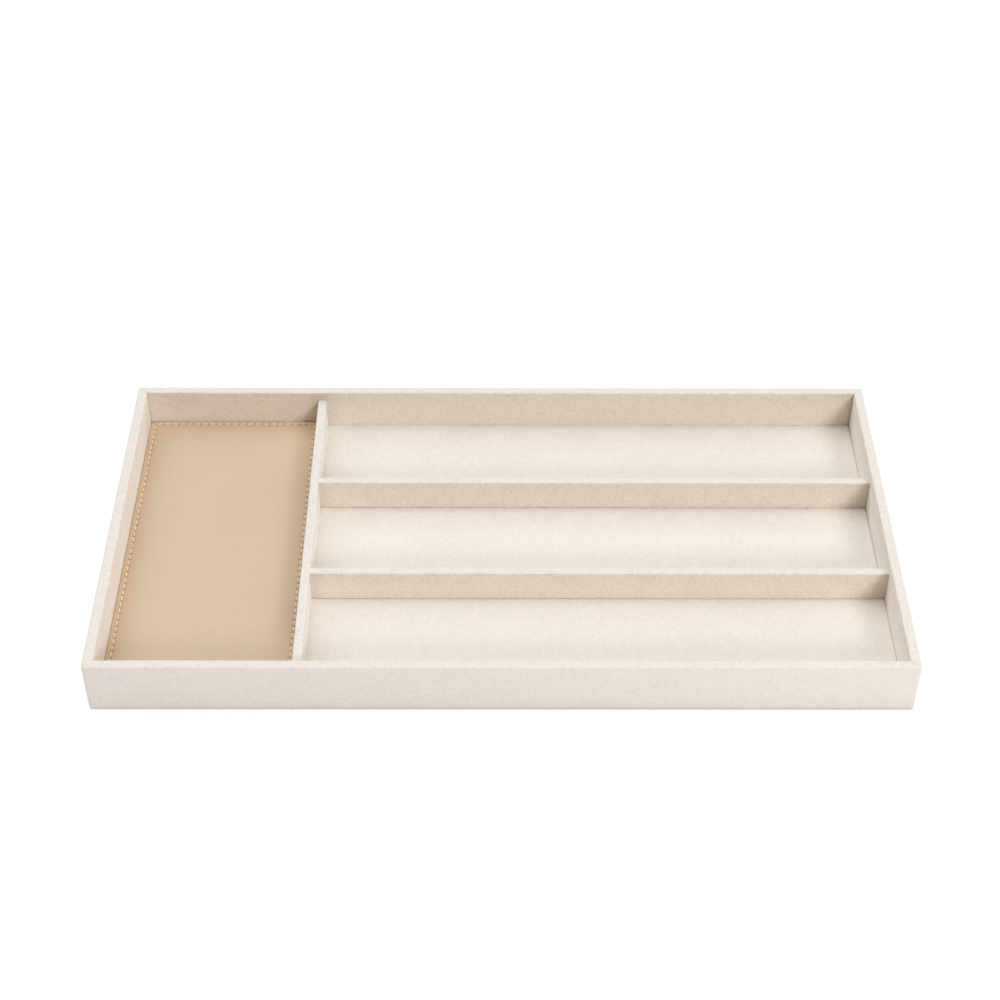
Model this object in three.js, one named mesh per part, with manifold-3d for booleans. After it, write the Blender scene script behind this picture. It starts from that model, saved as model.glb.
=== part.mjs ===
// Watch tray: a shallow suede-covered tray. A divider from front to rear parts off a valet
// compartment with a loose, stitched leather mat, and two more part the rest into three lanes.
// Millimetres: +X runs to the right, +Y to the rear and +Z up, from the middle of the underside.

import * as THREE from 'three';
import { mergeVertices } from 'three/addons/utils/BufferGeometryUtils.js';
import Module from 'manifold-3d';

const wasm = await Module();
wasm.setup();

// Driving dimensions of the tray
const LENGTH = 500;
const DEPTH = 260;
const HEIGHT = 37.5;
const DIVIDER_TOP = 31;
const VALET_WIDTH = 117.5;
const LANE_NAMES = ['front', 'middle', 'rear'];

// Thickness of each material
const WALL_BOARD = 5;
const DIVIDER_BOARD = 4.2;
const BASE_BOARD = 4.7;
const FLOOR_CARD = 2.6;
const SUEDE = 0.7;
const FELT = 1;

// Joints, and the gaps left between neighbours
const REBATE = 2.5;
const TENON_SEAT = 2;
const TENON_BOTTOM = 12;
const TENON_HEIGHT = 12;
const MORTISE_GAP = 0.3;
const GLUE_LINE = 0.1;
const MITRE_GAP = 0.1;
const END_GAP = 0.2;
const PANEL_GAP = 0.4;
const FELT_INSET = 2;

// Rounded edges and corners
const RIM_RADIUS = 1.4;
const FOOT_RADIUS = 0.7;
const PANEL_RADIUS = 0.6;
const FELT_RADIUS = 3;
const ARC_DIVISIONS = 2;
const CORNER_STEPS = 4;

// The valet mat: layers from the bottom up, then its edge, stitch line and crown
const MAT_GAP = 0.5;
const MAT_BACKING = 1;
const MAT_BOARD = 0.8;
const MAT_LEATHER = 0.9;
const MAT_RADIUS = 2;
const MAT_EDGE_ROUND = 1;
const MAT_DRAWN_IN = 0.4;
const STITCH_INSET = 3.5;
const STITCH_CHANNEL = 0.3;
const STITCH_CHANNEL_WIDTH = 0.8;
const THREAD_WIDTH = 0.7;
const PADDING_INSET = 5;
const PADDING_EDGE = 0.3;
const CROWN = 1.1;
const CROWN_REACH = 8;
const CROWN_INSETS = [6, 7.5, 10, 13, 17, 22, 29, 40];

// Heights and places that follow from those sizes
const WALL = WALL_BOARD + 2 * SUEDE;
const DIVIDER = DIVIDER_BOARD + 2 * SUEDE;
const BASE_TOP = FELT + BASE_BOARD;
const BASE_EDGE = SUEDE + WALL_BOARD - REBATE;
const FLOOR_TOP = BASE_TOP + FLOOR_CARD + SUEDE;
const INNER_X = LENGTH / 2 - WALL;
const INNER_Y = DEPTH / 2 - WALL;
const MAIN_DIVIDER_X = -INNER_X + VALET_WIDTH + DIVIDER / 2;
const LANE_LEFT = MAIN_DIVIDER_X + DIVIDER / 2;
const LANE_COUNT = LANE_NAMES.length;
const LANE_DEPTH = (2 * INNER_Y - (LANE_COUNT - 1) * DIVIDER) / LANE_COUNT;
const LANE_PITCH = LANE_DEPTH + DIVIDER;
const MAT_BOTTOM = FLOOR_TOP + GLUE_LINE;
const MAT_BOARD_BOTTOM = MAT_BOTTOM + MAT_BACKING + GLUE_LINE;
const MAT_BOARD_TOP = MAT_BOARD_BOTTOM + MAT_BOARD;
const MAT_BORDER_TOP = MAT_BOARD_TOP + GLUE_LINE + MAT_LEATHER;

// Materials
const finish = (color, roughness) => new THREE.MeshStandardMaterial({ color, roughness, metalness: 0 });
const SUEDE_FINISH = finish(0xece4d9, 0.95);
const LEATHER_FINISH = finish(0xd9c3aa, 0.5);
const BACKING_FINISH = finish(0xcdb593, 0.9);
const THREAD_FINISH = finish(0xeed9bb, 0.7);
const BOARD_FINISH = finish(0xb8996f, 0.85);
const CARD_FINISH = finish(0xa9a59c, 0.9);
const FELT_FINISH = finish(0xd3c8b8, 1);
const PADDING_FINISH = finish(0xefe8d6, 1);

// Shape builders

// A surface through rings with equal numbers of points. The rings turn anticlockwise seen from the
// end that they rise to. An open stack gets a flat cap on each end, in the plane that flatten gives.
function loft(rings, flatten) {
  const count = rings[0].length;
  const index = [];
  const joins = flatten ? rings.length - 1 : rings.length;
  for (let ring = 0; ring < joins; ring += 1) {
    const low = ring * count;
    const high = ((ring + 1) % rings.length) * count;
    for (let i = 0; i < count; i += 1) {
      const next = (i + 1) % count;
      index.push(low + i, low + next, high + next);
      index.push(low + i, high + next, high + i);
    }
  }
  if (flatten) {
    const last = (rings.length - 1) * count;
    for (const [a, b, c] of THREE.ShapeUtils.triangulateShape(rings[0].map(flatten), [])) {
      index.push(a, c, b);
    }
    for (const [a, b, c] of THREE.ShapeUtils.triangulateShape(rings.at(-1).map(flatten), [])) {
      index.push(last + a, last + b, last + c);
    }
  }
  const geometry = new THREE.BufferGeometry().setFromPoints(rings.flat());
  geometry.setIndex(index);
  return geometry;
}

// A section of (across, height) points drawn out along a wall or divider. reach gives how far it
// goes each way from the middle at a distance across, and place puts (along, across, height) points.
function rail(section, place, reach) {
  const end = (sign) => section.map((p) => place(sign * reach(p.x), p.x, p.y));
  const flatten = (_, i) => section[i];
  return loft([end(-1), end(1)], flatten);
}

// A rounded rectangle of points, inset from a box's sides, at one height.
function ring(box, inset, height, radius) {
  const points = [];
  const middle = box.getCenter(new THREE.Vector2());
  const half = box.getSize(new THREE.Vector2()).multiplyScalar(0.5).subScalar(inset + radius);
  for (let corner = 0; corner < 4; corner += 1) {
    const sx = corner === 0 || corner === 3 ? 1 : -1;
    const sy = corner < 2 ? 1 : -1;
    for (let step = 0; step <= CORNER_STEPS; step += 1) {
      const angle = (corner + step / CORNER_STEPS) * Math.PI / 2;
      const x = middle.x + sx * half.x + radius * Math.cos(angle);
      const y = middle.y + sy * half.y + radius * Math.sin(angle);
      points.push(new THREE.Vector3(x, y, height));
    }
  }
  return points;
}

// A panel over a box, through a profile of (inset, height) points from its underside to its top.
function panel(box, profile, radius) {
  const rings = profile.map(([inset, height]) => ring(box, inset, height, radius));
  return loft(rings, (p) => new THREE.Vector2(p.x, p.y));
}

function slab(box, bottom, top, radius) {
  return panel(box, [[0, bottom], [0, top]], radius);
}

function rectangle(x0, y0, x1, y1) {
  return new THREE.Box2(new THREE.Vector2(x0, y0), new THREE.Vector2(x1, y1));
}

function block(low, high) {
  const size = new THREE.Vector3().subVectors(high, low);
  const middle = new THREE.Vector3().addVectors(low, high).multiplyScalar(0.5);
  return new THREE.BoxGeometry(size.x, size.y, size.z).translate(middle.x, middle.y, middle.z);
}

// Joins and cuts

function toSolid(geometry) {
  const bare = geometry.clone();
  bare.deleteAttribute('normal');
  bare.deleteAttribute('uv');
  const merged = mergeVertices(bare);
  const vertProperties = new Float32Array(merged.attributes.position.array);
  const triVerts = new Uint32Array(merged.index.array);
  return new wasm.Manifold(new wasm.Mesh({ numProp: 3, vertProperties, triVerts }));
}

function toGeometry(solid) {
  const { vertProperties, triVerts } = solid.getMesh();
  const geometry = new THREE.BufferGeometry();
  geometry.setAttribute('position', new THREE.BufferAttribute(vertProperties, 3));
  geometry.setIndex(new THREE.BufferAttribute(triVerts, 1));
  return geometry;
}

function join(geometry, extras) {
  return toGeometry(extras.reduce((solid, extra) => solid.add(toSolid(extra)), toSolid(geometry)));
}

function cut(geometry, cutters) {
  return toGeometry(cutters.reduce((solid, cutter) => solid.subtract(toSolid(cutter)), toSolid(geometry)));
}

function piece(name, geometry, material) {
  geometry.computeVertexNormals();
  const mesh = new THREE.Mesh(geometry, material);
  mesh.name = name;
  return mesh;
}

// Sections across the walls and dividers, as (across, height) points

// The covering of a wall: up the inside, over the rim, down the outside and under the board.
function wallCoverSection() {
  const shape = new THREE.Shape();
  const rimMiddle = HEIGHT - RIM_RADIUS;
  const footMiddle = FELT + FOOT_RADIUS;
  const under = RIM_RADIUS - SUEDE;
  shape.moveTo(WALL - SUEDE, BASE_TOP + GLUE_LINE);
  shape.lineTo(WALL, BASE_TOP + GLUE_LINE);
  shape.absarc(WALL - RIM_RADIUS, rimMiddle, RIM_RADIUS, 0, Math.PI / 2, false);
  shape.absarc(RIM_RADIUS, rimMiddle, RIM_RADIUS, Math.PI / 2, Math.PI, false);
  shape.absarc(FOOT_RADIUS, footMiddle, FOOT_RADIUS, Math.PI, Math.PI * 1.5, false);
  shape.lineTo(BASE_EDGE - GLUE_LINE, FELT);
  shape.lineTo(BASE_EDGE - GLUE_LINE, FELT + SUEDE);
  shape.lineTo(SUEDE, FELT + SUEDE);
  shape.absarc(RIM_RADIUS, rimMiddle, under, Math.PI, Math.PI / 2, true);
  shape.absarc(WALL - RIM_RADIUS, rimMiddle, under, Math.PI / 2, 0, true);
  return shape.getPoints(ARC_DIVISIONS);
}

// The board of a wall, rebated along the bottom inside edge for the base board.
function wallBoardSection() {
  const shape = new THREE.Shape();
  const outside = SUEDE + GLUE_LINE;
  const inside = WALL - outside;
  const radius = RIM_RADIUS - outside;
  const rimMiddle = HEIGHT - RIM_RADIUS;
  shape.moveTo(outside, FELT + outside);
  shape.lineTo(BASE_EDGE - GLUE_LINE, FELT + outside);
  shape.lineTo(BASE_EDGE - GLUE_LINE, BASE_TOP + GLUE_LINE);
  shape.lineTo(inside, BASE_TOP + GLUE_LINE);
  shape.absarc(WALL - RIM_RADIUS, rimMiddle, radius, 0, Math.PI / 2, false);
  shape.absarc(RIM_RADIUS, rimMiddle, radius, Math.PI / 2, Math.PI, false);
  return shape.getPoints(ARC_DIVISIONS);
}

// The covering of a divider: up one side, over the top and down the other.
function dividerCoverSection() {
  const shape = new THREE.Shape();
  const half = DIVIDER / 2;
  const bottom = BASE_TOP + GLUE_LINE;
  const topMiddle = DIVIDER_TOP - RIM_RADIUS;
  const under = RIM_RADIUS - SUEDE;
  shape.moveTo(half - SUEDE, bottom);
  shape.lineTo(half, bottom);
  shape.absarc(half - RIM_RADIUS, topMiddle, RIM_RADIUS, 0, Math.PI / 2, false);
  shape.absarc(RIM_RADIUS - half, topMiddle, RIM_RADIUS, Math.PI / 2, Math.PI, false);
  shape.lineTo(-half, bottom);
  shape.lineTo(SUEDE - half, bottom);
  shape.absarc(RIM_RADIUS - half, topMiddle, under, Math.PI, Math.PI / 2, true);
  shape.absarc(half - RIM_RADIUS, topMiddle, under, Math.PI / 2, 0, true);
  return shape.getPoints(ARC_DIVISIONS);
}

function dividerBoardSection() {
  const shape = new THREE.Shape();
  const half = DIVIDER_BOARD / 2 - GLUE_LINE;
  const bottom = BASE_TOP + GLUE_LINE;
  const radius = RIM_RADIUS - SUEDE - GLUE_LINE;
  const topMiddle = DIVIDER_TOP - RIM_RADIUS;
  shape.moveTo(-half, bottom);
  shape.lineTo(half, bottom);
  shape.absarc(half - radius, topMiddle, radius, 0, Math.PI / 2, false);
  shape.absarc(radius - half, topMiddle, radius, Math.PI / 2, Math.PI, false);
  return shape.getPoints(ARC_DIVISIONS);
}

// Tenons and their mortises: a block that runs along X or Y from one point to another

function tenonBlock(from, to, slack) {
  const half = DIVIDER_BOARD / 2 - GLUE_LINE + slack;
  const alongX = from.y === to.y;
  const side = alongX ? new THREE.Vector2(0, half) : new THREE.Vector2(half, 0);
  const low = from.clone().min(to).sub(side);
  const high = from.clone().max(to).add(side);
  const bottom = TENON_BOTTOM - slack;
  const top = TENON_BOTTOM + TENON_HEIGHT + slack;
  return block(new THREE.Vector3(low.x, low.y, bottom), new THREE.Vector3(high.x, high.y, top));
}

// Each joint of a divider: the face that its tenon goes through, and the way that it points.
function dividerJoints() {
  const joint = (divider, into, x, y, dx, dy) => {
    const face = new THREE.Vector2(x, y);
    const out = new THREE.Vector2(dx, dy);
    const tip = face.clone().addScaledVector(out, SUEDE + TENON_SEAT);
    const root = face.clone().addScaledVector(out, -END_GAP - DIVIDER);
    const seat = tip.clone().addScaledVector(out, MORTISE_GAP);
    const tenon = tenonBlock(root, tip, 0);
    const mortise = tenonBlock(root, seat, MORTISE_GAP);
    return { divider, into, tenon, mortise };
  };
  const joints = [
    joint('main', 'front_wall', MAIN_DIVIDER_X, -INNER_Y, 0, -1),
    joint('main', 'rear_wall', MAIN_DIVIDER_X, INNER_Y, 0, 1),
  ];
  for (const [name, y] of laneDividers()) {
    joints.push(joint(name, 'main_divider', LANE_LEFT, y, -1, 0));
    joints.push(joint(name, 'right_wall', INNER_X, y, 1, 0));
  }
  return joints;
}

function laneDividers() {
  return [['front_lane', -LANE_PITCH / 2], ['rear_lane', LANE_PITCH / 2]];
}

// Sub-assemblies

function base() {
  const felt = rectangle(-LENGTH / 2, -DEPTH / 2, LENGTH / 2, DEPTH / 2).expandByScalar(-FELT_INSET);
  const board = rectangle(-LENGTH / 2, -DEPTH / 2, LENGTH / 2, DEPTH / 2).expandByScalar(-BASE_EDGE);
  return [
    piece('base_felt', slab(felt, 0, FELT, FELT_RADIUS), FELT_FINISH),
    piece('base_board', slab(board, FELT, BASE_TOP, GLUE_LINE), BOARD_FINISH),
  ];
}

function walls(joints) {
  const places = {
    front: [LENGTH / 2, (a, d, z) => new THREE.Vector3(a, d - DEPTH / 2, z)],
    right: [DEPTH / 2, (a, d, z) => new THREE.Vector3(LENGTH / 2 - d, a, z)],
    rear: [LENGTH / 2, (a, d, z) => new THREE.Vector3(-a, DEPTH / 2 - d, z)],
    left: [DEPTH / 2, (a, d, z) => new THREE.Vector3(d - LENGTH / 2, -a, z)],
  };
  return Object.entries(places).flatMap(([side, [half, place]]) => {
    const mitre = (across) => half - across - MITRE_GAP;
    const mortises = joints.filter((j) => j.into === `${side}_wall`).map((j) => j.mortise);
    const board = cut(rail(wallBoardSection(), place, mitre), mortises);
    const cover = cut(rail(wallCoverSection(), place, mitre), mortises);
    return [
      piece(`${side}_wall_board`, board, BOARD_FINISH),
      piece(`${side}_wall_suede`, cover, SUEDE_FINISH),
    ];
  });
}

function divider(name, half, place, joints) {
  const tenons = joints.filter((j) => j.divider === name).map((j) => j.tenon);
  const mortises = joints.filter((j) => j.into === `${name}_divider`).map((j) => j.mortise);
  const reach = () => half - END_GAP;
  const board = cut(join(rail(dividerBoardSection(), place, reach), tenons), mortises);
  const cover = cut(rail(dividerCoverSection(), place, reach), mortises);
  return [
    piece(`${name}_divider_board`, board, BOARD_FINISH),
    piece(`${name}_divider_suede`, cover, SUEDE_FINISH),
  ];
}

function dividers(joints) {
  const onMain = (a, across, z) => new THREE.Vector3(MAIN_DIVIDER_X - across, a, z);
  const laneMiddle = (LANE_LEFT + INNER_X) / 2;
  const laneHalf = (INNER_X - LANE_LEFT) / 2;
  const lanes = laneDividers().flatMap(([name, y]) => {
    const onLane = (a, across, z) => new THREE.Vector3(laneMiddle + a, y + across, z);
    return divider(name, laneHalf, onLane, joints);
  });
  return [...divider('main', INNER_Y, onMain, joints), ...lanes];
}

// A floor panel: a stiff card with suede drawn over its top and down its four edges.
function floor(name, space) {
  const outline = space.clone().expandByScalar(-PANEL_GAP);
  const bottom = BASE_TOP + GLUE_LINE;
  const under = FLOOR_TOP - SUEDE;
  const cover = [
    [SUEDE, under],
    [SUEDE, bottom],
    [0, bottom],
    [0, FLOOR_TOP - PANEL_RADIUS],
    [PANEL_RADIUS * 0.3, FLOOR_TOP - PANEL_RADIUS * 0.3],
    [PANEL_RADIUS, FLOOR_TOP],
  ];
  const card = outline.clone().expandByScalar(-SUEDE - GLUE_LINE);
  return [
    piece(`${name}_floor_card`, slab(card, bottom, under - GLUE_LINE, PANEL_RADIUS), CARD_FINISH),
    piece(`${name}_floor_suede`, panel(outline, cover, PANEL_RADIUS), SUEDE_FINISH),
  ];
}

function floors() {
  const lanes = LANE_NAMES.flatMap((name, i) => {
    const front = -INNER_Y + i * LANE_PITCH;
    return floor(`${name}_lane`, rectangle(LANE_LEFT, front, INNER_X, front + LANE_DEPTH));
  });
  const valet = floor('valet', rectangle(-INNER_X, -INNER_Y, -INNER_X + VALET_WIDTH, INNER_Y));
  return [...lanes, ...valet];
}

// Height of the mat's face at a distance in from its edge: a rounded edge, a channel where the
// stitches draw the leather down, then a crown over the padding.
function matFace(inset) {
  const edge = Math.max(0, 1 - inset / MAT_EDGE_ROUND);
  const roll = MAT_EDGE_ROUND * (1 - Math.sqrt(1 - edge * edge));
  const channel = STITCH_CHANNEL * Math.exp(-(((inset - STITCH_INSET) / STITCH_CHANNEL_WIDTH) ** 2));
  const swell = CROWN * (1 - Math.exp(-Math.max(0, inset - PADDING_INSET) / CROWN_REACH));
  return MAT_BORDER_TOP - roll - channel + swell;
}

function mat() {
  const space = rectangle(-INNER_X, -INNER_Y, -INNER_X + VALET_WIDTH, INNER_Y);
  const outline = space.expandByScalar(-MAT_GAP);
  const leatherBottom = MAT_BOTTOM + GLUE_LINE;
  const fold = MAT_LEATHER;
  const coverUnder = CROWN_INSETS.toReversed().map((inset) => [inset, matFace(inset) - MAT_LEATHER]);
  const edgeInsets = [0, 0.3, 0.6, MAT_EDGE_ROUND, 2.4, 3, STITCH_INSET, 4, PADDING_INSET];
  const cover = [
    ...coverUnder,
    [PADDING_INSET, MAT_BOARD_TOP + GLUE_LINE],
    [fold, MAT_BOARD_TOP + GLUE_LINE],
    [fold, leatherBottom],
    [MAT_DRAWN_IN, leatherBottom],
    ...edgeInsets.map((inset) => [inset, matFace(inset)]),
    ...CROWN_INSETS.map((inset) => [inset, matFace(inset)]),
  ];
  const paddingBottom = MAT_BOARD_TOP + GLUE_LINE;
  const paddingInsets = CROWN_INSETS.filter((inset) => matFace(inset) > MAT_BORDER_TOP + PADDING_EDGE);
  const padding = [
    [paddingInsets[0], paddingBottom],
    ...paddingInsets.map((inset) => [inset, matFace(inset) - MAT_LEATHER - GLUE_LINE]),
  ];
  const inside = outline.clone().expandByScalar(-fold - GLUE_LINE);
  return [
    piece('mat_backing', slab(inside, MAT_BOTTOM, MAT_BOTTOM + MAT_BACKING, MAT_RADIUS), BACKING_FINISH),
    piece('mat_board', slab(inside, MAT_BOARD_BOTTOM, MAT_BOARD_TOP, MAT_RADIUS), BOARD_FINISH),
    piece('mat_padding', panel(outline, padding, MAT_RADIUS), PADDING_FINISH),
    piece('mat_leather', panel(outline, cover, MAT_RADIUS), LEATHER_FINISH),
    piece('mat_thread', thread(outline), THREAD_FINISH),
  ];
}

// The stitch line, as one six-sided round of thread that lies in its channel.
function thread(outline) {
  const radius = THREAD_WIDTH / 2;
  const middle = matFace(STITCH_INSET) + radius + GLUE_LINE;
  const rings = [];
  for (let side = 0; side < 6; side += 1) {
    const angle = side * Math.PI / 3;
    const inset = STITCH_INSET - radius * Math.cos(angle);
    rings.push(ring(outline, inset, middle + radius * Math.sin(angle), MAT_RADIUS));
  }
  return loft(rings);
}

const joints = dividerJoints();
const tray = new THREE.Group();
tray.name = 'tray';
tray.add(...base(), ...walls(joints), ...dividers(joints), ...floors());

const valetMat = new THREE.Group();
valetMat.name = 'valet_mat';
valetMat.add(...mat());

const watchTray = new THREE.Group();
watchTray.name = 'watch_tray';
watchTray.add(tray, valetMat);

export default watchTray;
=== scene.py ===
"""Looks of a suede-covered watch tray: its coverings, floor panels, felt, leather mat and stitches.

Lengths are in millimetres until a mesh is made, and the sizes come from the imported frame.
"""

import math
import random

import bpy
import numpy as np
from mathutils import Matrix, Vector, noise


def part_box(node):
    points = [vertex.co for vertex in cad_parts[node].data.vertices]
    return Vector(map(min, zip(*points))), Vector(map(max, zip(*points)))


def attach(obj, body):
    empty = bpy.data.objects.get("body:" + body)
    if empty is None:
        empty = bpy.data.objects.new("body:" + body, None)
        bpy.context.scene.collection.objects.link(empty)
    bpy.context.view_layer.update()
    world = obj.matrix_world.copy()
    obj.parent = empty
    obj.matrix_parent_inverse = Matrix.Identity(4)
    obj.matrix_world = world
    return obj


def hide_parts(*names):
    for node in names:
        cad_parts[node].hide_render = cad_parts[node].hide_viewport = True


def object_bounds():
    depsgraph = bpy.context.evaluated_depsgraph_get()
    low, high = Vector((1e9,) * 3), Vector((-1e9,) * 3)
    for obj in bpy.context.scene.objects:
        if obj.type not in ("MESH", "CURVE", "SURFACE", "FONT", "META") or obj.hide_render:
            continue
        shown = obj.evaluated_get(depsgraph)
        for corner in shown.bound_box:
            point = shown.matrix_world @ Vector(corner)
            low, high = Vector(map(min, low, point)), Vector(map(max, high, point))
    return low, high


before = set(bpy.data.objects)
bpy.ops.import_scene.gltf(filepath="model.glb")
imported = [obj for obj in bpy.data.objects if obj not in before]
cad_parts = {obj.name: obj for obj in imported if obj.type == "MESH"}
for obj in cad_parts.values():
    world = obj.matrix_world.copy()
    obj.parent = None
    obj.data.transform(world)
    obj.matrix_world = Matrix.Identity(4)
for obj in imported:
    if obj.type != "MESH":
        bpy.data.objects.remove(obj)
cad_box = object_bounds()
random.seed(7)

MM = 0.001

# The photograph's camera: its place, its turns in degrees and its focal length in pixels
CAMERA_PLACE = (-7.1, -896.1, 889.4)
CAMERA_PITCH = 43.045
CAMERA_YAW = -0.393
CAMERA_ROLL = 0.333
CAMERA_FOCAL = 1925
PHOTO_WIDTH = 1000

# The studio floor as the camera sees it: its shade, the glow added to it, where that glow fades under
# the tray's edge to paint a dark gap there, and the share of it that stays there
FLOOR_SHADE = 0.5
FLOOR_GLOW = 0.62
GLOW_EDGE = (-0.8, 0.25)
GAP_SHARE = 0.45

# Coverings: thickness, edges and seams of the suede, its unevenness as waves of (height, length, seed
# step), and the angles in degrees from which an edge shows as a crease
SUEDE = 0.7
GLUE_LINE = 0.1
RIM_RADIUS = 0.9
FOOT_RADIUS = 0.6
CORNER_RADIUS = 2.2
SEAM_GAP = 0.04
TUCK_WIDTH = 0.9
TUCK_DEPTH = 0.22
STRIP_STEP = 2.5
STRIP_WAVES = ((0.09, 46, 0), (0.05, 13, 3))
STRIP_STRETCH = (4, 2)
STRIP_RINGS = (0, 0.15, 0.35, 0.65, TUCK_WIDTH, 1.4, 2, 3.4)
STRIP_CREASE = 50
DIVIDER_PRESS = 0.15
LAP_LENGTH = 2.6
LAP_HEIGHT = 0.1
PANEL_ROLL = 0.5
PANEL_STEP = 5
PANEL_EDGE = (0, 0.03, 0.1, 0.2, 0.34, PANEL_ROLL, 2)
PANEL_WAVES = ((0.06, 34, 0), (0.04, 11, 5))
PANEL_SINK = 0.05
PANEL_CREASE = 60
PANEL_PRESS = (0.2, 0.25)
PANEL_TUCK = 0.55
REAR_TUCK = 0.36

# Thin flat sheets
SHEET_ROLL = 0.3
SHEET_EDGE = (0, 0.08, 0.22, 0.45, 1.5)
FELT_CORNER = 3

# Painted light and shade on the suede: a lighter or darker tone for each way a face turns, painted
# shade on the valet's rear wall and in corners, and how far they reach
LEVEL_SHADE_TONE = (0.977, 0.983, 0.99)
UPRIGHT_SHADE_TONE = (1.0, 0.964, 0.927)
SIDE_LIGHT_TONE = (1.05, 1.08, 1.095)
RIM_SHADE_TONE = (0.95, 0.96, 0.97)
VALET_WALL_SHADE_TONE = (0.955, 0.965, 0.98)
VALET_WALL_SHADE_REACH = (8, 95)
CORNER_SHADE_TONE = (0.86, 0.85, 0.84)
CORNER_SHADE_REACH = 7

# Painted light and shade on the leather: painted shade in the stitch holes and along the stitch line,
# a painted lighter border and rear band, and how far they reach
HOLE_SHADE_COLOUR = (0.27, 0.165, 0.095)
STITCH_LINE_SHADE_TONE = (0.95, 0.9, 0.83)
STITCH_LINE_SHADE_REACH = 6
BORDER_LIGHT_TONE = (1.1, 1.1, 1.1)
REAR_BAND_LIGHT_TONE = (1.1, 1.1, 1.11)
REAR_BAND_LIGHT_REACH = (9, 24)

# The mat's edge, stitch line and crown
LEATHER = 0.9
MAT_PRESS = 0.38
MAT_CORNER = 3
MAT_ROLL = 0.7
MAT_DRAWN_IN = 0.4
STITCH_INSET = 3.4
MAT_EDGE = (0, 0.03, 0.1, 0.22, 0.4, MAT_ROLL, 1.3, 1.9, 2.4, 2.8, 3.1, STITCH_INSET)
BORDER_RISE = 0.3
BORDER_FADE = 0.8
STITCHES_ACROSS = 21
STITCHES_ALONG = 45
STEPS_PER_STITCH = 8
CLOTH_STEPS = 2
CLOTH_PRESSURE = 40
CLOTH_FRAMES = 20
CHANNEL_DEPTH = 0.4
CHANNEL_WIDTH = 1.0
HOLE_RADIUS = 0.62
HOLE_DEPTH = 0.9
PUCKER = 0.1
PUCKER_REACH = 3.5
CROWN = 1.2
STITCH_GAP = 1.9
STITCH_RISE = 0.4
STITCH_SLANT = 0.22
PLY_RADIUS = 0.33
PLY_TURNS = 2.5
PLY_SPREAD = 0.8
PLY_STEPS = 12
PLY_SIDES = 6
STITCH_ARCH = 0.35


# Sizes from the frame

def span(node):
    low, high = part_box(node)
    return np.array(low) / MM, np.array(high) / MM


HALF_X, HALF_Y, HEIGHT = np.array(cad_box[1]) / MM
WALL_LOW, WALL_HIGH = span("front_wall_suede")
WALL = WALL_HIGH[1] - WALL_LOW[1]
FOOT = WALL_LOW[2]
BASE_TOP = span("base_board")[1][2]
BASE_EDGE = HALF_X - span("base_board")[1][0]
DIVIDER_TOP = span("main_divider_suede")[1][2]
VALET_RIGHT = span("main_divider_suede")[0][0]
LANE_LEFT = span("main_divider_suede")[1][0]


# Mesh building

def piece(name, points, faces, material, body, replaced=None, sharp=None):
    """A smooth-shaded object from points in millimetres, riding on a body."""
    mesh = bpy.data.meshes.new(name)
    mesh.from_pydata((np.asarray(points, float) * MM).tolist(), [], faces)
    mesh.shade_smooth()
    if sharp:
        mesh.set_sharp_from_angle(angle=math.radians(sharp))
    mesh.materials.append(material)
    made = bpy.data.objects.new(name, mesh)
    bpy.context.scene.collection.objects.link(made)
    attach(made, body)
    if replaced:
        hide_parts(replaced)
    return made


def loft(rings):
    """Points and faces of a closed skin through rings of equal length, with a cap on each end."""
    rings = np.asarray(rings, float)
    count, size = rings.shape[:2]
    faces = []
    for ring in range(count - 1):
        low, high = ring * size, (ring + 1) * size
        for i in range(size):
            following = (i + 1) % size
            faces.append((low + i, low + following, high + following, high + i))
    faces.append(tuple(reversed(range(size))))
    faces.append(tuple(range((count - 1) * size, count * size)))
    return rings.reshape(-1, 3), faces


def line(start, end, steps):
    """Points from start up to, but not at, end."""
    return [np.array(start) + (np.array(end) - start) * i / steps for i in range(steps)]


def arc(middle, radius, start, end, steps):
    """Points on an arc, with its angles in quarter turns."""
    turns = [start + (end - start) * i / steps for i in range(steps + 1)]
    return [
        np.array(middle) + radius * np.array((math.cos(t * math.pi / 2), math.sin(t * math.pi / 2)))
        for t in turns
    ]


def wave(place, length, seed):
    """Smooth noise of about -1 to 1 with waves of the given length."""
    return noise.noise(Vector((place[0] / length + seed * 7.3, place[1] / length, place[2] / length)))


def uneven(place, waves, seed):
    """The sum of waves of (height, length, seed step) at a place."""
    return sum(height * wave(place, length, seed + step) for height, length, step in waves)


def end_distances(half):
    """Distances from a strip's end at which it has a ring, close together at the end."""
    last = STRIP_RINGS[-1]
    steps = max(1, round((half - last) / STRIP_STEP))
    return [*STRIP_RINGS, *(last + (half - last) * i / steps for i in range(1, steps + 1))]


def tuck(distance, depth):
    """How far a covering is drawn in near a seam."""
    left = max(0, 1 - distance / TUCK_WIDTH)
    return depth * left * left


# Suede strips over walls and dividers

def outward(section):
    """Unit normals along a section of (across, height) points, pointing out of the covering."""
    ahead = np.roll(section, -1, axis=0) - np.roll(section, 1, axis=0)
    normal = np.stack([ahead[:, 1], -ahead[:, 0]], axis=1)
    return normal / np.maximum(np.linalg.norm(normal, axis=1, keepdims=True), 1e-9)


def strip(section, shown, reach, half, place, seed, tucked):
    """Rings of a covering drawn out along its board, with soft unevenness and tucked ends."""
    section = np.asarray(section, float)
    normal = outward(section)
    rings = []
    distances = end_distances(half)
    for sign, order in ((-1, distances), (1, distances[::-1])):
        for distance in order:
            ring = []
            for i, (across, height) in enumerate(section):
                along = sign * (reach(across) - distance)
                push = 0
                if i < shown:
                    spot = (along, across * STRIP_STRETCH[0], height * STRIP_STRETCH[1])
                    push = uneven(spot, STRIP_WAVES, seed) - tuck(distance, tucked)
                across, height = section[i] + push * normal[i]
                ring.append(place(along, across, height))
            rings.append(ring)
    return rings


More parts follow.
